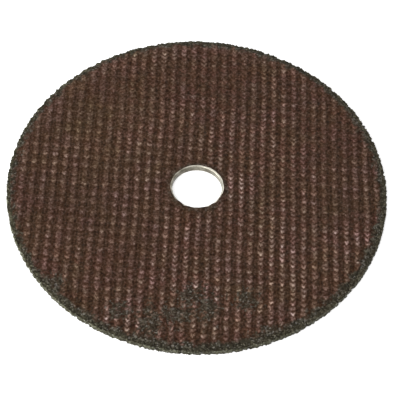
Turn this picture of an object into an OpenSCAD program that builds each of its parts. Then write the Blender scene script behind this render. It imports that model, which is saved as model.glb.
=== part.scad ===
// Reinforced cut-off wheel: a thin pressed abrasive disc with woven glass cloth
// moulded into both faces, and a drawn metal ring that lines the arbor hole.
// Millimetres. Z is the arbor axis. The wheel lies on Z = 0 and the origin is
// on the axis there. The side at Z = 0 is the one with the flange of the ring.

/* [Wheel] */
// Outside diameter
wheel_d = 76.2; // [60:0.1:100]
// Thickness over the ribs of both faces
wheel_t = 1.6; // [1.4:0.05:3]
// Bevel on both edges of the rim
rim_bevel = 0.1; // [0.05:0.01:0.2]

/* [Cloth] */
// Width of bare grit between the cloth and the rim
grit_rim = 1.2; // [0.8:0.1:4]
// Width of the bare ring between the cloth and the metal
hole_land = 1; // [0.6:0.1:3]
// Distance between two warp ribs
warp_pitch = 2.09; // [1.6:0.01:3]
// Distance of the middle rib from the axis
warp_shift = 0.43; // [0:0.01:0.8]
// Distance between two weft picks along a rib
weft_pitch = 2.2; // [1.8:0.05:4]
// Angle by which the picks slope away from square, in degrees
weft_skew = 3; // [0:0.5:6]
// Width of a warp rib at the face
rib_w = 1.3; // [0.8:0.05:1.5]
// Height of a warp rib above the face
rib_h = 0.14; // [0.08:0.01:0.25]
// Length of the dip where a pick binds a rib
pinch_l = 1; // [0.4:0.05:1.4]
// Part of the rib height that is left in the dip
pinch_left = 0.3; // [0.2:0.05:0.7]

/* [Ring] */
// Inside diameter, for a 9.5 mm arbor
bore_d = 10; // [9:0.1:16]
// Thickness of the sheet metal, in the sleeve and in the flange
sheet_t = 0.45; // [0.35:0.01:0.6]
// Outside diameter of the flange
flange_d = 16; // [14:0.1:22]
// Radius of the rounded entry to the bore
entry_r = 0.3; // [0.1:0.05:0.4]
// Bevel on the free end of the sleeve
tip_bevel = 0.08; // [0.03:0.01:0.15]
// Distance of the free end of the sleeve below the ribs
tip_drop = 0.05; // [0:0.01:0.15]
// Gap all round between the metal and the moulding
seat_gap = 0.02; // [0.01:0.01:0.05]

/* [Hidden] */
$fn = 96;
wheel_r = wheel_d / 2;
back_z = rib_h;
front_z = wheel_t - rib_h;
bore_r = bore_d / 2;
ring_r = bore_r + sheet_t;
flange_r = flange_d / 2;
ring_l = wheel_t - tip_drop;
cloth_r = wheel_r - grit_rim;
front_land_r = ring_r + hole_land;
back_land_r = flange_r + hole_land;
// radius of the round top of a rib
rib_r = (rib_w * rib_w / 4 + rib_h * rib_h) / (2 * rib_h);
// how far a rib is rooted in the disc, and how far its cutters stand off
root = 0.2;
over = 0.05;
side_ribs = ceil(cloth_r / warp_pitch);

// half of a circle's chord at a distance from its middle, none outside it
function half_chord(r, x) = x >= r ? 0 : sqrt(r * r - x * x);

// the one or two lengths of a rib at x: from the cloth edge to the land
function rib_runs(x, land) =
    let (out = half_chord(cloth_r, abs(x) + rib_w / 2),
         in = half_chord(land, max(0, abs(x) - rib_w / 2)))
    out - in < weft_pitch ? [] :
    in == 0 ? [[-out, out]] : [[-out, -in], [in, out]];

// where the picks cross a rib at x, clear of both of its ends
function picks(x, run) =
    let (shift = -x * tan(weft_skew),
         first = ceil((run[0] + pinch_l - shift) / weft_pitch),
         last = floor((run[1] - pinch_l - shift) / weft_pitch))
    last < first ? [] :
    [for (k = [first : last]) k * weft_pitch + shift];

// side view of a rib as a block with a dip at each pick
function dipped(run, marks) =
    let (low = rib_h * pinch_left,
         top = rib_h + over,
         half = pinch_l / 2 * (top - low) / (rib_h - low))
    concat(
        [[run[0] - over, -root - over], [run[0] - over, top]],
        [for (y = marks) each [[y - half, top], [y, low], [y + half, top]]],
        [[run[1] + over, top], [run[1] + over, -root - over]]);

module rib_section() {
    intersection() {
        translate([0, rib_h - rib_r]) circle(r = rib_r);
        translate([-rib_w / 2, -root]) square([rib_w, root + 2 * rib_h]);
    }
}

// one length of warp rib, bound down by the picks that cross it
module rib(x, run) {
    translate([x, 0, 0]) intersection() {
        translate([0, run[1], 0]) rotate([90, 0, 0])
            linear_extrude(run[1] - run[0]) rib_section();
        rotate([90, 0, 90])
            linear_extrude(rib_w + 2 * over, center = true)
                polygon(dipped(run, picks(x, run)));
    }
}

// all the ribs of one face, which is at Z = 0 and looks up
module cloth(land) {
    for (i = [-side_ribs : side_ribs]) {
        x = i * warp_pitch + warp_shift;
        for (run = rib_runs(x, land)) rib(x, run);
    }
}

// disc with the hole and the recess for the ring
module disc() {
    hole_r = ring_r + seat_gap;
    recess_r = flange_r + seat_gap;
    rotate_extrude() polygon([
        [hole_r, sheet_t],
        [recess_r, sheet_t],
        [recess_r, back_z],
        [wheel_r - rim_bevel, back_z],
        [wheel_r, back_z + rim_bevel],
        [wheel_r, front_z - rim_bevel],
        [wheel_r - rim_bevel, front_z],
        [hole_r, front_z]]);
}

module abrasive_wheel() color([0.27, 0.2, 0.16]) {
    disc();
    translate([0, 0, front_z]) cloth(front_land_r);
    translate([0, 0, back_z]) rotate([180, 0, 0]) cloth(back_land_r);
}

module ring_section() {
    difference() {
        polygon([
            [bore_r, 0],
            [flange_r, 0],
            [flange_r, sheet_t],
            [ring_r, sheet_t],
            [ring_r, ring_l - tip_bevel],
            [ring_r - tip_bevel, ring_l],
            [bore_r + tip_bevel, ring_l],
            [bore_r, ring_l - tip_bevel]]);
        difference() {
            translate([bore_r - over, -over]) square(entry_r + over);
            translate([bore_r + entry_r, entry_r]) circle(r = entry_r);
        }
    }
}

module arbor_ring() color([0.72, 0.7, 0.66]) rotate_extrude() ring_section();

abrasive_wheel();
arbor_ring();
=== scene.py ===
import math

import bmesh
import bpy
from mathutils import Matrix, Vector, noise


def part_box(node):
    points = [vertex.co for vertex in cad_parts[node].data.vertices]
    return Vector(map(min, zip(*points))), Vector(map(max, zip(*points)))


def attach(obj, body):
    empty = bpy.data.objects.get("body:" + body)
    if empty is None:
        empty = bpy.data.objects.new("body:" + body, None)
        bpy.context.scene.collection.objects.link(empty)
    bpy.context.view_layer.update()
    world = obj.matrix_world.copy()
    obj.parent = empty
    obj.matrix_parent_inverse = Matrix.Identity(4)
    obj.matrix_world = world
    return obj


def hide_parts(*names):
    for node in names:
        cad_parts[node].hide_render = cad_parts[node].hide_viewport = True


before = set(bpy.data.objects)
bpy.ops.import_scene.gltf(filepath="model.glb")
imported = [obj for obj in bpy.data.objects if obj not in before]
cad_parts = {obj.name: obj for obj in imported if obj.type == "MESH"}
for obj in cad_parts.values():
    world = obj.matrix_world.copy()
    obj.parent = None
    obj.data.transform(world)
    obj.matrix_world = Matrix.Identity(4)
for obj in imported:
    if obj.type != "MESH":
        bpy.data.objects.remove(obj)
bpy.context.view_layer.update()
wheelLow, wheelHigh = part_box("abrasive_wheel")
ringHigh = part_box("arbor_ring")[1]
mm = 0.001
print("frame loaded:", sorted(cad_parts))


# view: the photograph's camera, worked out for a square frame
view = {
    "frame": 400,             # pixels across
    "focal": 1803.5,          # pixels
    "sensor": 36,             # millimetres
    "near": 10 * mm,          # nothing closer to the lens is drawn
    "reach": 361.95 * mm,     # from the lens to the foot of the arbor axis
    "elevation": 54.68,
    "roll": 2.42,
    "foot": (196.9, 191.2),   # pixel where the axis meets the floor
}


def makeCamera():
    data = bpy.data.cameras.new("photoCamera")
    data.sensor_width = view["sensor"]
    data.lens = view["focal"] / view["frame"] * view["sensor"]
    data.shift_x = 0.5 - view["foot"][0] / view["frame"]
    data.shift_y = view["foot"][1] / view["frame"] - 0.5
    data.clip_start = view["near"]
    camera = bpy.data.objects.new("photoCamera", data)
    bpy.context.scene.collection.objects.link(camera)
    rise = math.radians(view["elevation"])
    place = Vector((0, -math.cos(rise), math.sin(rise))) * view["reach"]
    turn = Matrix.Rotation(math.pi / 2 - rise, 4, "X")
    tip = Matrix.Rotation(math.radians(view["roll"]), 4, "Z")
    camera.matrix_world = Matrix.Translation(place) @ turn @ tip
    bpy.context.scene.camera = camera


makeCamera()
print("camera set")


def srgb(red, green, blue):
    parts = [c / 255 for c in (red, green, blue)]
    return [c / 12.92 if c <= 0.04045 else ((c + 0.055) / 1.055) ** 2.4 for c in parts] + [1]


def fade(low, high, x):
    t = min(1, max(0, (x - low) / (high - low)))
    return t * t * (3 - 2 * t)


def finishPiece(bm, name, material):
    bmesh.ops.scale(bm, vec=(mm, mm, mm), verts=bm.verts)
    bmesh.ops.remove_doubles(bm, verts=bm.verts, dist=1e-7)
    bmesh.ops.recalc_face_normals(bm, faces=bm.faces)
    mesh = bpy.data.meshes.new(name)
    bm.to_mesh(mesh)
    bm.free()
    for face in mesh.polygons:
        face.use_smooth = True
    mesh.materials.append(material)
    piece = bpy.data.objects.new(name, mesh)
    bpy.context.scene.collection.objects.link(piece)
    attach(piece, "root")
    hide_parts("abrasive_wheel")
    print(name, "faces:", len(mesh.polygons))


# node helpers
def addNode(tree, kind, **values):
    node = tree.nodes.new(kind)
    for key, value in values.items():
        setattr(node, key, value)
    return node


def addAttribute(tree, name):
    return addNode(tree, "ShaderNodeAttribute", attribute_name=name).outputs["Fac"]


def addNoise(tree, coords, size, detail=2.0, rough=0.5):
    node = addNode(tree, "ShaderNodeTexNoise")
    node.inputs["Scale"].default_value = 1 / size
    node.inputs["Detail"].default_value = detail
    node.inputs["Roughness"].default_value = rough
    tree.links.new(coords, node.inputs["Vector"])
    return node.outputs["Fac"]


def addRange(tree, value, span, result=(0, 1)):
    node = addNode(tree, "ShaderNodeMapRange")
    tree.links.new(value, node.inputs["Value"])
    for key, number in zip(("From Min", "From Max", "To Min", "To Max"), (*span, *result)):
        node.inputs[key].default_value = number
    return node.outputs["Result"]


def addMath(tree, kind, first, second):
    node = addNode(tree, "ShaderNodeMath", operation=kind)
    for socket, value in zip(node.inputs, (first, second)):
        if isinstance(value, (int, float)):
            socket.default_value = value
        else:
            tree.links.new(value, socket)
    return node.outputs["Value"]


def addMix(tree, amount, first, second, blend="MIX"):
    node = addNode(tree, "ShaderNodeMix", data_type="RGBA", blend_type=blend)
    for key, value in ((0, amount), (6, first), (7, second)):
        if isinstance(value, (int, float, list)):
            node.inputs[key].default_value = value
        else:
            tree.links.new(value, node.inputs[key])
    return node.outputs[2]


# stops: places from 0 to 1 with their colours, in order
def addRamp(tree, value, stops):
    node = addNode(tree, "ShaderNodeValToRGB")
    elements = node.color_ramp.elements
    for element, (place, colour) in zip(elements, (stops[0], stops[-1])):
        element.position = place
        element.color = colour
    for place, colour in stops[1:-1]:
        elements.new(place).color = colour
    tree.links.new(value, node.inputs["Fac"])
    return node.outputs["Color"]


def addBump(tree, shader, height, strength, distance):
    node = addNode(tree, "ShaderNodeBump")
    node.inputs["Strength"].default_value = strength
    node.inputs["Distance"].default_value = distance
    tree.links.new(height, node.inputs["Height"])
    tree.links.new(node.outputs["Normal"], shader.inputs["Normal"])


def addRadius(tree, coords):
    flat = addNode(tree, "ShaderNodeMapping")
    flat.inputs["Scale"].default_value = (1, 1, 0)
    tree.links.new(coords, flat.inputs["Vector"])
    radius = addNode(tree, "ShaderNodeVectorMath", operation="LENGTH")
    tree.links.new(flat.outputs["Vector"], radius.inputs[0])
    return radius.outputs["Value"]


def newMaterial(name):
    material = bpy.data.materials.new(name)
    material.use_nodes = True
    tree = material.node_tree
    return material, tree, tree.nodes["Principled BSDF"]


# Settings with two pairs are ranges: what comes in, and what that is turned into.

# grit: crushed grains set in resin, shared by the cloth and the rim
gritLook = {
    "shades": ((0, srgb(28, 25, 17)), (0.7, srgb(55, 52, 40)), (0.95, srgb(86, 83, 69))),
    "speck": srgb(156, 153, 140),
    "speckLot": (0.86, 0.92),       # a grain shines if its lot is above these
    "height": ((0, 0.8), (1, 0)),   # from a grain's middle outwards
    "rough": ((0, 1), (0.5, 0.85)),
}


def makeGritGroup():
    group = bpy.data.node_groups.new("gritGrains", "ShaderNodeTree")
    sockets = (
        ("INPUT", "Vector", "Vector"), ("INPUT", "Grain Scale", "Float"),
        ("INPUT", "Speck", "Float"), ("OUTPUT", "Color", "Color"),
        ("OUTPUT", "Height", "Float"), ("OUTPUT", "Roughness", "Float"),
    )
    for side, name, kind in sockets:
        group.interface.new_socket(name, in_out=side, socket_type="NodeSocket" + kind)
    source = addNode(group, "NodeGroupInput")
    sink = addNode(group, "NodeGroupOutput")
    grains = addNode(group, "ShaderNodeTexVoronoi", feature="F1")
    group.links.new(source.outputs["Vector"], grains.inputs["Vector"])
    group.links.new(source.outputs["Grain Scale"], grains.inputs["Scale"])
    lots = addNode(group, "ShaderNodeSeparateColor")
    group.links.new(grains.outputs["Color"], lots.inputs["Color"])
    shade = addRamp(group, lots.outputs["Red"], gritLook["shades"])
    glint = addRange(group, lots.outputs["Blue"], gritLook["speckLot"])
    glint = addMath(group, "MULTIPLY", glint, source.outputs["Speck"])
    colour = addMix(group, glint, shade, gritLook["speck"])
    height = addRange(group, grains.outputs["Distance"], *gritLook["height"])
    rough = addRange(group, lots.outputs["Green"], *gritLook["rough"])
    for key, value in (("Color", colour), ("Height", height), ("Roughness", rough)):
        group.links.new(value, sink.inputs[key])
    return group


gritGroup = makeGritGroup()


def addGrit(tree, coords, size, speck):
    node = addNode(tree, "ShaderNodeGroup", node_tree=gritGroup)
    node.inputs["Grain Scale"].default_value = 1 / size
    node.inputs["Speck"].default_value = speck
    tree.links.new(coords, node.inputs["Vector"])
    return node


# cloth: chains of V shaped stitches under resin; sizes in millimetres
cloth = {
    "step": 0.22,            # mesh spacing
    "margin": 0.6,           # part of a step kept clear along the two round edges
    "outer": 37.8,           # hidden under the rim's grit
    "edge": 37.05,           # where the chains end
    "lay": (-0.15, 0.25),    # middle of the cloth, laid in a little off the axis
    "pitch": 2.09,           # chain to chain
    "shift": 0.43,           # chain nearest the axis
    "half": 0.8,             # half width of a chain
    "stitch": 1.1,           # V to V along a chain
    "slope": 1.05,           # rise of a V's arms
    "skew": 3.0,             # slope of the rows in degrees
    "middle": 0.8,           # height of the plane between the two halves
    "relief": 0.2,           # depth of the weave; the next five are parts of it
    "ground": 0.04,          # lift of everything
    "rough": 0.1,            # roughness everywhere
    "grit": 0.2,             # height of bare grit
    "gritRough": 0.25,       # roughness that bare grit adds
    "collar": 0.88,          # height of the resin round the hole
    "collarWide": 0.5,
    "lost": 0.75,            # part of a stitch's height that is gone where grit is bare
    "grains": 2.6,           # waves of roughness in a millimetre
    "ends": (-0.3, 0.35),    # where the stitches begin, about the land's radius
    "sink": (-0.2, 0.5),     # where the face drops under the rim, about the edge
    "sinkDeep": 0.25,
    "bareDull": 0.8,         # how far bare grit hides the stitches' colour
    "paintedLightAngle": 125,        # side with the painted light, in degrees
    "darkerSide": 0.65,            # how much darker the other side gets
    "paintedLightBand": (33, 36.5),  # radii where the painted light and the darkening begin and are at their full
}


# how the stitches' painted highlights and painted shade are laid out; lengths in millimetres, but
# dullSize in metres
stitchLook = {
    "long": (0.1, 0.66),     # longStitch, from none to all
    "longBend": (1, 0.7),    # part of a V's bend, from short to long stitches
    "shortPeak": 0.75,       # below 1 brings a stitch's peak nearer its lower end
    "longPeak": 0.6,
    "longFill": 1.6,         # a long stitch fills two rows divided by this
    "paired": 0.45,          # longStitch above which two rows share one lot
    "dullSize": 2.6 * mm,
    "dull": ((0.35, 0.6), (0.6, 1.1)),
    "lot": ((0, 1), (0.55, 1)),
    "calm": (0, 0.75),       # how far long stitches are evened out
    "even": 0.84,            # strength they are evened towards
    "core": 0.64,            # half width of a stitch's painted bright part
    "coreRise": 1.2,
    "body": 0.63,            # painted brightness of a stitch
    "ground": 0.05,          # and of the thread between two
    # painted highlight on the tip of a V
    "tipHalf": 0.42,
    "tipRise": 4,
    "tip": ((0.1, 0.55), (0.26, 0.03)),
    "pitAt": 0.72,           # painted shade in the pits beside the thread
    "pitHalf": 0.3,
    "pit": 0.3,
    "eyeHalf": 0.4,          # between two chains: painted shade in the eyes and painted highlights on the picks
    "eye": ((-1, 1), (-0.26, 0.12)),
}


# how far a point stands out as thread: below 0 in the gaps, 1 on the tip of a V; it sets the
# painted highlights and painted shade
def addStitches(tree, coords):
    def calc(kind, first, second=0.0):
        return addMath(tree, kind, first, second)

    def hump(value, middle, width):
        off = calc("DIVIDE", calc("SUBTRACT", value, middle), width)
        return calc("MAXIMUM", calc("SUBTRACT", 1, calc("MULTIPLY", off, off)), 0)

    c = cloth
    s = stitchLook
    across = calc("ADD", addAttribute(tree, "across"), 0.5)
    row = addAttribute(tree, "row")
    soft = addAttribute(tree, "longStitch")
    off = calc("ABSOLUTE", calc("SUBTRACT", calc("FRACT", across), 0.5))
    off = calc("MULTIPLY", off, c["pitch"])
    bent = calc("MULTIPLY", calc("MINIMUM", off, c["half"]), c["slope"] / c["stitch"])
    bent = calc("MULTIPLY", bent, addRange(tree, soft, s["long"], s["longBend"]))
    turns = calc("SUBTRACT", row, bent)
    # a bead for each row, and one for every two rows where the stitches are long
    short = calc("POWER", calc("FRACT", turns), s["shortPeak"])
    short = calc("SINE", calc("MULTIPLY", short, math.pi))
    long = calc("MULTIPLY", calc("FRACT", calc("MULTIPLY", turns, 0.5)), s["longFill"])
    long = calc("POWER", calc("MINIMUM", long, 1), s["longPeak"])
    long = calc("SINE", calc("MULTIPLY", long, math.pi))
    bead = calc("MULTIPLY", short, calc("SUBTRACT", 1, soft))
    bead = calc("ADD", bead, calc("MULTIPLY", long, soft))
    # each stitch has a lot, for its strength and its hue
    count = calc("FLOOR", turns)
    odd = calc("MULTIPLY", calc("FRACT", calc("MULTIPLY", count, 0.5)), 2)
    odd = calc("MULTIPLY", odd, calc("GREATER_THAN", soft, s["paired"]))
    place = addNode(tree, "ShaderNodeCombineXYZ")
    tree.links.new(calc("FLOOR", across), place.inputs["X"])
    tree.links.new(calc("SUBTRACT", count, odd), place.inputs["Y"])
    lot = addNode(tree, "ShaderNodeTexWhiteNoise", noise_dimensions="2D")
    tree.links.new(place.outputs["Vector"], lot.inputs["Vector"])
    dull = addRange(tree, addNoise(tree, coords, s["dullSize"]), *s["dull"])
    strength = calc("MULTIPLY", dull, addRange(tree, lot.outputs["Value"], *s["lot"]))
    calm = addRange(tree, soft, s["long"], s["calm"])
    lively = calc("SUBTRACT", 1, calm)
    strength = calc("MULTIPLY", strength, lively)
    strength = calc("ADD", strength, calc("MULTIPLY", calm, s["even"]))
    # the thread, the painted highlight on its tip, painted shade in the pits beside it, and the
    # eyes and picks between two chains
    lit = calc("MULTIPLY", calc("POWER", bead, s["coreRise"]), strength)
    lit = calc("ADD", calc("MULTIPLY", lit, s["body"]), s["ground"])
    body = calc("MULTIPLY", hump(off, 0, s["core"]), lit)
    tip = calc("MULTIPLY", hump(off, 0, s["tipHalf"]), calc("POWER", bead, s["tipRise"]))
    bright = calc("MULTIPLY", strength, addRange(tree, soft, *s["tip"]))
    tip = calc("MULTIPLY", tip, bright)
    mark = calc("MULTIPLY", calc("ADD", body, tip), addAttribute(tree, "wear"))
    pit = calc("MULTIPLY", hump(off, s["pitAt"], s["pitHalf"]), calc("SUBTRACT", 1, bead))
    mark = calc("SUBTRACT", mark, calc("MULTIPLY", pit, s["pit"]))
    pick = addRange(tree, calc("SINE", calc("MULTIPLY", row, math.pi)), *s["eye"])
    eye = calc("MULTIPLY", hump(off, c["pitch"] / 2, s["eyeHalf"]), pick)
    mark = calc("ADD", mark, calc("MULTIPLY", eye, lively))
    return mark, lot.outputs["Color"]


resin = {
    "shades": (              # from painted shade in the gaps, by valley, flank and arm, to a painted highlight on a stitch's crest
        (0, srgb(27, 13, 6)), (0.28, srgb(55, 35, 22)), (0.5, srgb(81, 60, 50)),
        (0.75, srgb(124, 103, 92)), (1, srgb(180, 158, 146)),
    ),
    "shade": ((-0.4, 1), (0.06, 0.98)),    # from a stitch's mark to a place in the shades
    "fleckSize": 0.45 * mm,
    "fleckRough": 0.7,
    "fleck": ((0.36, 0.64), (-0.2, 0.2)),
    # how far the painted light on one side lifts the resin's colour
    "glazeLift": 0.05,
    "paintedLightLift": 0.08,
    "olive": [0.9, 0.96, 0.86, 1],         # tints, over the resin's own colour
    "ruddy": [1.05, 0.92, 0.92, 1],
    "glazed": [1.0, 1.02, 0.92, 1],
    "warm": [1.0, 1.0, 0.93, 1],
    "cool": [1.0, 0.99, 1.12, 1],
    "bare": [0.91, 0.88, 0.96, 1],         # over the grit
    "oliveSize": 9 * mm,
    "oliveNoise": (0.45, 0.7),
    "ruddySize": 3.6 * mm,
    "ruddyNoise": (0.8, 1.3),
    "ruddyLong": (1, 0.35),                # from short to long stitches
    "hazeSize": 3.5 * mm,
    "hazeNoise": (0.35, 0.65),
    "grain": 0.32 * mm,
    "speck": 0.32,
    "gapGrit": ((0, 0.3), (0.12, 0)),      # grit that shows in the gaps
    "gloss": ((0.1, 0.9), (0.7, 0.42)),
    "specular": 0.05,
    "gritBump": ((0, 1), (0.25, 1)),       # from covered to bare
    "bump": (0.5, 0.06 * mm),
}


def makeResin():
    material, tree, shader = newMaterial("resinCloth")
    r = resin
    coords = addNode(tree, "ShaderNodeTexCoord").outputs["Object"]
    mark, lot = addStitches(tree, coords)
    glaze = addAttribute(tree, "glaze")
    paintedSideLight = addAttribute(tree, "paintedSideLight")
    bare = addAttribute(tree, "bareGrit")
    fleck = addRange(tree, addNoise(tree, coords, r["fleckSize"], 3, r["fleckRough"]), *r["fleck"])
    lifted = addMath(tree, "ADD", addRange(tree, mark, *r["shade"]), fleck)
    lifted = addMath(tree, "ADD", lifted, addMath(tree, "MULTIPLY", glaze, r["glazeLift"]))
    # painted light on one side, and darker towards the other
    lifted = addMath(tree, "ADD", lifted, addMath(tree, "MULTIPLY", paintedSideLight, r["paintedLightLift"]))
    colour = addRamp(tree, lifted, r["shades"])
    olive = addRange(tree, addNoise(tree, coords, r["oliveSize"], 3), r["oliveNoise"])
    hue = addNode(tree, "ShaderNodeSeparateColor")
    tree.links.new(lot, hue.inputs["Color"])
    ruddy = addMath(tree, "ADD", addNoise(tree, coords, r["ruddySize"]), hue.outputs["Green"])
    paler = addRange(tree, addAttribute(tree, "longStitch"), stitchLook["long"], r["ruddyLong"])
    ruddy = addMath(tree, "MULTIPLY", addRange(tree, ruddy, r["ruddyNoise"]), paler)
    haze = addRange(tree, addNoise(tree, coords, r["hazeSize"]), r["hazeNoise"])
    haze = addMix(tree, haze, r["warm"], r["cool"])
    tints = ((olive, r["olive"]), (ruddy, r["ruddy"]), (glaze, r["glazed"]), (1.0, haze))
    for amount, tint in tints:
        colour = addMix(tree, amount, colour, tint, "MULTIPLY")
    grit = addGrit(tree, coords, r["grain"], r["speck"])
    stone = addMix(tree, 1.0, grit.outputs["Color"], r["bare"], "MULTIPLY")
    shown = addMath(tree, "MAXIMUM", bare, addRange(tree, mark, *r["gapGrit"]))
    tree.links.new(addMix(tree, shown, colour, stone), shader.inputs["Base Color"])
    tree.links.new(addRange(tree, lifted, *r["gloss"]), shader.inputs["Roughness"])
    shader.inputs["Specular IOR Level"].default_value = r["specular"]
    rough = addRange(tree, bare, *r["gritBump"])
    rough = addMath(tree, "MULTIPLY", grit.outputs["Height"], rough)
    addBump(tree, shader, rough, *r["bump"])
    return material


rimLook = {
    "grain": 0.3 * mm,
    "speck": 0.25,
    "stainSize": 3 * mm,
    "stain": ((0.45, 0.7), (0, 0.5)),
    "stainColour": srgb(58, 53, 40),
    "face": [0.88, 0.85, 0.84, 1],         # tints; the wall's lighter tint is painted light on the sides
    "wall": [1.6, 1.7, 1.76, 1],
    # tint for the painted light on one side of the rim
    "paintedLightTint": [1.55, 1.62, 1.58, 1],
    "specular": 0.08,
    "bump": (0.7, 0.1 * mm),
}


def makeRimGrit():
    material, tree, shader = newMaterial("rimGrit")
    r = rimLook
    coords = addNode(tree, "ShaderNodeTexCoord").outputs["Object"]
    grit = addGrit(tree, coords, r["grain"], r["speck"])
    stain = addRange(tree, addNoise(tree, coords, r["stainSize"], 3), *r["stain"])
    colour = addMix(tree, stain, grit.outputs["Color"], r["stainColour"])
    # the wall is painted lighter than the face, as light on the sides
    tone = addMix(tree, addAttribute(tree, "wall"), r["face"], r["wall"])
    colour = addMix(tree, 1.0, colour, tone, "MULTIPLY")
    # painted light on one side of the rim
    colour = addMix(tree, addAttribute(tree, "paintedSideLight"), colour, r["paintedLightTint"], "MULTIPLY")
    tree.links.new(colour, shader.inputs["Base Color"])
    tree.links.new(grit.outputs["Roughness"], shader.inputs["Roughness"])
    shader.inputs["Specular IOR Level"].default_value = r["specular"]
    addBump(tree, shader, grit.outputs["Height"], *r["bump"])
    return material


ringLook = {
    "stretch": (0.15, 0.15, 1),            # drawing lines run round the sleeve
    "lineSize": 0.08 * mm,
    "endFrom": (5.02 * mm, 5.12 * mm),     # radii where the bore's wall turns into the end
    "smudgeSize": 1.5 * mm,
    "smudge": ((0.35, 0.7), (-0.3, 0.5)),
    "paintedSideShade": ((-5 * mm, 5 * mm), (0.9, 0)),   # painted shade along X, darkest towards -X, across the hole
    "wallResidueAndShade": (0, 1),
    "wall": (srgb(150, 146, 133), srgb(84, 79, 66)),     # clean, and with residue and painted shade
    "endResidueAndShade": (0.3, 1.1),
    "end": (srgb(184, 180, 168), srgb(110, 105, 92)),
    "rough": ((0.3, 0.7), (0.28, 0.44)),
    "bump": (0.2, 0.01 * mm),
}


def makeRingMetal():
    material, tree, shader = newMaterial("ringMetal")
    r = ringLook
    coords = addNode(tree, "ShaderNodeTexCoord").outputs["Object"]
    stretch = addNode(tree, "ShaderNodeMapping")
    stretch.inputs["Scale"].default_value = r["stretch"]
    tree.links.new(coords, stretch.inputs["Vector"])
    lines = addNoise(tree, stretch.outputs["Vector"], r["lineSize"])
    smudge = addRange(tree, addNoise(tree, coords, r["smudgeSize"], 3), *r["smudge"])
    sides = addNode(tree, "ShaderNodeSeparateXYZ")
    tree.links.new(coords, sides.inputs["Vector"])
    # residue from the smudges, and painted shade towards -X
    residueAndShade = addMath(tree, "ADD", smudge, addRange(tree, sides.outputs["X"], *r["paintedSideShade"]))
    wall = addMix(tree, addRange(tree, residueAndShade, r["wallResidueAndShade"]), *r["wall"])
    end = addMix(tree, addRange(tree, residueAndShade, r["endResidueAndShade"]), *r["end"])
    # the bore's wall is given darker colours than the end: painted shade inside the bore
    colour = addMix(tree, addRange(tree, addRadius(tree, coords), r["endFrom"]), wall, end)
    tree.links.new(colour, shader.inputs["Base Color"])
    tree.links.new(addRange(tree, lines, *r["rough"]), shader.inputs["Roughness"])
    shader.inputs["Metallic"].default_value = 1
    addBump(tree, shader, lines, *r["bump"])
    return material


resinCloth = makeResin()
rimGrit = makeRimGrit()
ringMetal = makeRingMetal()
print("materials made")


# waves are sizes, how many there are in a millimetre of x and of y, and a seed
weave = {
    "wander": ((0.22, 0.05, 0.07, 0), (0.18, 0.6, 0.6, 3)),    # of the chains, sideways
    "shuffle": ((0.16, 0.5, 0.1, 5), (0.15, 1.1, 1.1, 9)),     # of the rows
    "peak": 0.75,          # below 1 brings a stitch's peak nearer its lower end
    "round": 0.8,          # below 1 makes a chain's back flatter
    "back": 0.32,          # height of a chain between two stitches, as part of the relief
    "bead": 0.6,           # what a stitch adds
    "pick": 0.16,          # height of the picks between two chains
}


def addWaves(start, x, y, seed, waves):
    return sum((a * noise.noise(Vector((x * b, y * c, seed + d))) for a, b, c, d in waves), start)


def stitchShape(x, y, seed):
    c = cloth
    w = weave
    across = (x - c["shift"] + addWaves(0, x, y, seed, w["wander"])) / c["pitch"]
    row = (y + x * math.tan(math.radians(c["skew"]))) / c["stitch"]
    row = addWaves(row, x, y, seed, w["shuffle"])
    off = abs(across - round(across)) * c["pitch"]
    side = min(1, off / c["half"])
    turn = (row - c["slope"] * c["half"] * side / c["stitch"]) % 1
    bead = math.sin(math.pi * turn ** w["peak"])
    chain = (1 - side * side) ** w["round"] * (w["back"] + w["bead"] * bead)
    pick = 0.5 + 0.5 * math.sin(math.pi * row)
    return max(chain, w["pick"] * pick * side), across, row


# wear: patches are x, y and half sizes in millimetres, and a fifth number for their strength
wear = {
    "glaze": (-18, 16, 12, 14),    # olive patch
    "longSpots": (                 # every second stitch stands out
        (-22, -4, 14, 20, 0.8), (30, -1, 8, 11, 0.6),
    ),
    "longWaves": ((1, 0.06, 0.06, 7),),
    "longRise": (-0.05, 0.65),
    "long": (0.13, 0.53),          # least, and what is added at most
    "clearSpots": (                # how much more or less the stitches show
        (-18, 18, 10, 11, -0.4), (1, 27, 10, 6, -0.5), (27, 11, 7, 10, -0.35),
        (-20, -14, 12, 10, -0.2), (-25, -25, 8, 7, -0.35), (-12, 3, 5, 6, 0.5),
        (-3.5, 12, 7, 6, 0.5), (14, 1, 6, 7, 0.5), (17, -21, 9, 7, 0.25), (-1, -34, 7, 3, 0.5),
        (26, -1, 7, 6, -0.35), (-6.5, -20, 5, 6, -0.3), (7, -14.5, 4, 4, -0.25),
        (15.5, -12.5, 5, 4.5, -0.25),
    ),
    "clearWaves": ((0.6, 0.1, 0.1, 2),),
    "clearTilt": 0.3,              # they show more towards the near side, and a little to +X
    "clearRise": (-8, 16),
    "clear": (0.7, 0.3),           # least, and what is added at most
    "darkerSideRise": 3,
    "bareSpots": (                 # where the cloth has lost its resin
        (-26.4, -23.8, 2, 2), (-13.7, -29.6, 2.2, 2), (-7.9, -32, 2.4, 3.6), (-3.2, -30, 3, 2.4),
        (0, -25.6, 3.2, 2.2), (3, -28, 2.6, 3.2), (10.5, -26, 2.3, 2.4), (15, -33, 2.4, 1.6),
    ),
    "ragged": (0.7, 3),            # waves in a millimetre and seed
    "frayed": (1.9, 8),
    "spot": (0.5, 1.2),            # where a spot's grit fades out, in half sizes
    "spotTorn": (0.8, 1.3),        # how far ragged and frayed tears move that edge
    "spotMost": 0.78,
    "rim": (-1.25, 0.2),           # the same at the rim, about the cloth's edge
    "rimTorn": (1.0, 0.8),
    "hole": (-0.4, 0.3),           # and round the hole, about the land's radius
    "holeTorn": (0.5, 0.5),
    "holeMost": 0.4,
}


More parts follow.
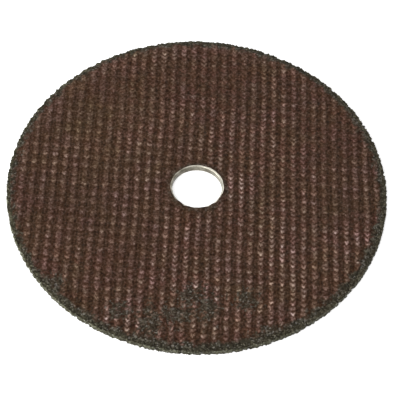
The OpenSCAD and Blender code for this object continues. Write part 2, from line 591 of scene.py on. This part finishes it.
def patchAt(x, y, patch):
    a, b, wide, high = patch[:4]
    return math.exp(-((x - a) / wide) ** 2 - ((y - b) / high) ** 2)


# painted light on one side of the wheel, and darker towards the other
def paintedSideLightAt(x, y, angle, darkerSide):
    facing = math.cos(math.atan2(y, x) - math.radians(angle))
    return facing if facing > 0 else max(wear["darkerSideRise"] * facing, -darkerSide)


# where every second stitch of a chain stands out and the rest lie low
def longStitches(x, y, seed):
    patches = sum(spot[4] * patchAt(x, y, spot) for spot in wear["longSpots"])
    least, more = wear["long"]
    return least + more * fade(*wear["longRise"], addWaves(patches, x, y, seed, wear["longWaves"]))


# how clearly the stitches show: less where resin has pooled over them
def stitchWear(x, y, seed):
    least, more = wear["clear"]
    clear = least + more * fade(*wear["clearRise"], wear["clearTilt"] * x - y)
    clear *= addWaves(1, x, y, seed, wear["clearWaves"])
    for spot in wear["clearSpots"]:
        clear *= 1 + spot[4] * patchAt(x, y, spot)
    return clear


def offLay(x, y):
    return math.hypot(x - cloth["lay"][0], y - cloth["lay"][1])


# how far the grit is bare, from 0 to 1
def bareness(x, y, radius, land):
    w = wear
    tears = [noise.noise(Vector((x * a, y * a, seed))) for a, seed in (w["ragged"], w["frayed"])]

    def torn(distance, sizes):
        return distance + sizes[0] * tears[0] + sizes[1] * tears[1]

    nearest = min(math.hypot((x - a) / wide, (y - b) / high) for a, b, wide, high in w["bareSpots"])
    spot = 1 - fade(*w["spot"], torn(nearest, w["spotTorn"]))
    low, high = (cloth["edge"] + reach for reach in w["rim"])
    rim = fade(low, high, torn(offLay(x, y), w["rimTorn"]))
    low, high = (land + reach for reach in w["hole"])
    hole = 1 - fade(low, high, torn(radius, w["holeTorn"]))
    return max(w["spotMost"] * spot, rim, w["holeMost"] * hole)


def edgeLoop(bm, test):
    return [e for e in bm.edges if e.is_boundary and test(e.verts[0].co.xy.length)]


def pushLoop(bm, loop, radius=None, height=None):
    made = bmesh.ops.extrude_edge_only(bm, edges=loop)["geom"]
    for v in made:
        if isinstance(v, bmesh.types.BMVert):
            if radius is not None:
                v.co.xy *= radius / v.co.xy.length
            if height is not None:
                v.co.z = height
    return [e for e in made if isinstance(e, bmesh.types.BMEdge) and e.is_boundary]


# flash: resin that has run over the sleeve's end, most on the near side; millimetres
flash = {
    "far": 0.12,           # reach over the end
    "near": 0.34,
    "most": 0.46,
    "nearRise": (-0.1, 0.7),
    "tear": 0.9,           # tears in a millimetre
    "farTorn": 0.08,       # how far they go
    "nearTorn": 0.2,       # and what the near side adds
    "thick": 0.025,
    "thickWave": 0.01,
    "clear": 0.004,        # gap above the sleeve
}


def addFlash(bm, loop, hole, tip):
    f = flash
    loop = pushLoop(bm, loop)
    for v in {v for e in loop for v in e.verts}:
        near = fade(*f["nearRise"], -v.co.y / hole)
        frayed = noise.noise(v.co * f["tear"])
        reach = f["far"] + (f["near"] - f["far"]) * near
        reach += (f["farTorn"] + f["nearTorn"] * near) * frayed
        v.co.xy *= 1 - min(reach, f["most"]) / hole
        v.co.z = tip + f["thick"] + f["thickWave"] * frayed
    loop = pushLoop(bm, loop, height=tip + f["clear"])
    return pushLoop(bm, loop, radius=hole)


# radius of the hole and of the land round it, height of the face, way it looks, and seed
clothSides = {
    "clothFront": (5.47, 6.2, wheelHigh.z / mm, 1, 11),
    "clothBack": (ringHigh.x / mm + 0.02, 8.9, wheelLow.z / mm, -1, 29),
}


def makeCloth(name, hole, land, top, up, seed):
    c = cloth
    bm = bmesh.new()
    count = round(2 * c["outer"] / c["step"])
    bmesh.ops.create_grid(bm, x_segments=count, y_segments=count, size=c["outer"])
    margin = c["margin"] * c["step"]
    stray = [v for v in bm.verts if not hole + margin < v.co.xy.length < c["outer"] - margin]
    bmesh.ops.delete(bm, geom=stray, context="VERTS")
    split = (hole + c["outer"]) / 2
    outerRim = pushLoop(bm, edgeLoop(bm, lambda r: r > split), radius=c["outer"])
    holeRim = pushLoop(bm, edgeLoop(bm, lambda r: r < split), radius=hole)
    names = ("across", "row", "longStitch", "wear", "glaze", "paintedSideLight", "bareGrit")
    layers = [bm.verts.layers.float.new(key) for key in names]
    for v in bm.verts:
        x, y, radius = v.co.x, v.co.y * up, v.co.xy.length
        grit = bareness(x, y, radius, land)
        height, across, row = stitchShape(x, y, seed)
        sink = fade(c["edge"] + c["sink"][0], c["edge"] + c["sink"][1], offLay(x, y))
        ends = fade(land + c["ends"][0], land + c["ends"][1], radius)
        grains = noise.noise(Vector((x * c["grains"], v.co.y * c["grains"], seed)))
        shape = height * ends * (1 - c["lost"] * grit)
        shape += grit * (c["grit"] + c["gritRough"] * grains)
        shape += c["rough"] * grains
        collar = c["collar"] * (1 - fade(hole, hole + c["collarWide"], radius))
        shape = min(1, max(0, shape + c["ground"], collar))
        clear = stitchWear(x, y, seed) * (ends * (1 - c["bareDull"] * grit))
        glaze = patchAt(x, y, wear["glaze"])
        paintedSideLight = paintedSideLightAt(x, y, c["paintedLightAngle"], c["darkerSide"]) * fade(*c["paintedLightBand"], radius)
        values = (across, row, longStitches(x, y, seed), clear, glaze, paintedSideLight, grit)
        for layer, value in zip(layers, values):
            v[layer] = value
        v.co.z = top - up * (c["relief"] * (1 - shape) + c["sinkDeep"] * sink)
    if up > 0:
        holeRim = addFlash(bm, holeRim, hole, ringHigh.z / mm)
    walls = [pushLoop(bm, loop, height=c["middle"]) for loop in (outerRim, holeRim)]
    bmesh.ops.bridge_loops(bm, edges=walls[0] + walls[1])
    finishPiece(bm, name, resinCloth)


for sideName, sideValues in clothSides.items():
    makeCloth(sideName, *sideValues)


# rim: bare grit round the edge, turned from a section; sizes in millimetres
rim = {
    "steps": 1080,
    "spacing": 0.2,
    "inner": 36.6,
    "innerDrop": 0.2,      # the inner edge lies under the cloth
    "flat": 37.4,          # where the grit comes up to the face
    "sink": 0.04,          # face of the grit below the tops of the stitches
    "bevel": 0.1,
    "grain": 0.45,
    "pit": 0.28,           # depth between two grains
    "pitRise": (0.15, 0.75),
    "notch": 0.43,         # depth of a chip in the edge
    "notchRise": (-0.05, 0.7),
    "notchWaves": (1.6, 0.3),    # in a millimetre, across and up
    "smooth": 0.35,        # part of both that the moulded wall is spared
    "smoothFrom": (0.8, 1),
    "still": 0.05,         # width along the inner edge that isn't cut
    "wall": (0.3, 0.9),    # how far a face leans outwards, from flat to wall
    "paintedLightAngle": 165,      # side with the painted light, in degrees
}


def makeRim():
    r = rim
    outer = min(wheelHigh.x, wheelHigh.y, -wheelLow.x, -wheelLow.y) / mm
    high = wheelHigh.z / mm - r["sink"]
    low = wheelLow.z / mm + r["sink"]
    corners = [
        (r["inner"], high - r["innerDrop"]), (r["flat"], high), (outer - r["bevel"], high),
        (outer, high - r["bevel"]), (outer, low + r["bevel"]), (outer - r["bevel"], low),
        (r["flat"], low), (r["inner"], low + r["innerDrop"]),
    ]
    bm = bmesh.new()
    verts = [bm.verts.new((x, 0, z)) for x, z in corners]
    edges = [bm.edges.new((a, b)) for a, b in zip(verts, verts[1:] + verts[:1])]
    for edge in edges[:-1]:
        cuts = max(1, round(edge.calc_length() / r["spacing"]) - 1)
        bmesh.ops.subdivide_edges(bm, edges=[edge], cuts=cuts)
    bmesh.ops.spin(
        bm, geom=bm.verts[:] + bm.edges[:], cent=(0, 0, 0), axis=(0, 0, 1),
        angle=math.tau, steps=r["steps"], use_merge=True)
    bmesh.ops.remove_doubles(bm, verts=bm.verts, dist=1e-4)
    bmesh.ops.recalc_face_normals(bm, faces=bm.faces)
    bm.normal_update()
    wall = bm.verts.layers.float.new("wall")
    paintedSideLight = bm.verts.layers.float.new("paintedSideLight")
    across, up = r["notchWaves"]
    for v in bm.verts:
        lean = v.normal.xy.length
        v[wall] = fade(*r["wall"], lean)
        v[paintedSideLight] = paintedSideLightAt(v.co.x, v.co.y, r["paintedLightAngle"], 0)
        if v.co.xy.length > r["inner"] + r["still"]:
            gap = noise.voronoi(v.co / r["grain"])[0][0]
            chip = noise.noise(Vector((v.co.x * across, v.co.y * across, v.co.z * up)))
            depth = r["pit"] * fade(*r["pitRise"], gap) + r["notch"] * fade(*r["notchRise"], chip)
            v.co -= v.normal * depth * (1 - r["smooth"] * fade(*r["smoothFrom"], lean))
    finishPiece(bm, "gritRim", rimGrit)


makeRim()

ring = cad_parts["arbor_ring"]
ring.data.materials.clear()
ring.data.materials.append(ringMetal)
print("ring finished")


# studio: a white floor, three soft boxes and an even sky; metres and watts
studio = {
    "white": (1, 1, 1, 1),
    "floorSize": 3.0,
    "floorDrop": 0.02 * mm,    # keeps the floor clear of the part
    "floor": 0.9,
    "floorRough": 0.9,
    "lift": 0.45,              # glow that the lens sees on the floor
    "sky": 0.4,                # light of the sky, where the lens doesn't see it
    "lamps": (                 # name, place, size and power
        ("softBox", (-0.3, -0.5, 0.6), 0.45, 5.5),
        ("backBox", (0.35, 0.55, 0.6), 0.5, 2.5),
        ("sideBox", (-0.6, -0.2, 0.14), 0.3, 3.4),
    ),
}


def seenByLens(tree):
    path = addNode(tree, "ShaderNodeLightPath")
    glossy = addMath(tree, "MAXIMUM", path.outputs["Is Camera Ray"], path.outputs["Is Glossy Ray"])
    return addMath(tree, "MAXIMUM", glossy, path.outputs["Is Transmission Ray"])


def makeFloor():
    bm = bmesh.new()
    bmesh.ops.create_grid(bm, x_segments=1, y_segments=1, size=studio["floorSize"] / 2)
    mesh = bpy.data.meshes.new("floor")
    bm.to_mesh(mesh)
    bm.free()
    material, tree, shader = newMaterial("whiteFloor")
    shader.inputs["Base Color"].default_value = [studio["floor"]] * 3 + [1]
    shader.inputs["Roughness"].default_value = studio["floorRough"]
    shader.inputs["Emission Color"].default_value = studio["white"]
    lift = addMath(tree, "MULTIPLY", seenByLens(tree), studio["lift"])
    tree.links.new(lift, shader.inputs["Emission Strength"])
    mesh.materials.append(material)
    floor = bpy.data.objects.new("floor", mesh)
    floor.location.z = -studio["floorDrop"]
    bpy.context.scene.collection.objects.link(floor)


def makeLights():
    world = bpy.data.worlds.new("sky")
    world.use_nodes = True
    tree = world.node_tree
    glow = tree.nodes["Background"]
    glow.inputs["Color"].default_value = studio["white"]
    strength = addRange(tree, seenByLens(tree), (0, 1), (studio["sky"], 1))
    tree.links.new(strength, glow.inputs["Strength"])
    bpy.context.scene.world = world
    for name, place, size, power in studio["lamps"]:
        data = bpy.data.lights.new(name, "AREA")
        data.size = size
        data.energy = power
        lamp = bpy.data.objects.new(name, data)
        lamp.location = place
        lamp.rotation_euler = (-Vector(place)).to_track_quat("-Z", "Y").to_euler()
        bpy.context.scene.collection.objects.link(lamp)


makeFloor()
makeLights()
bpy.context.scene.view_settings.view_transform = "Standard"
print("studio lit")
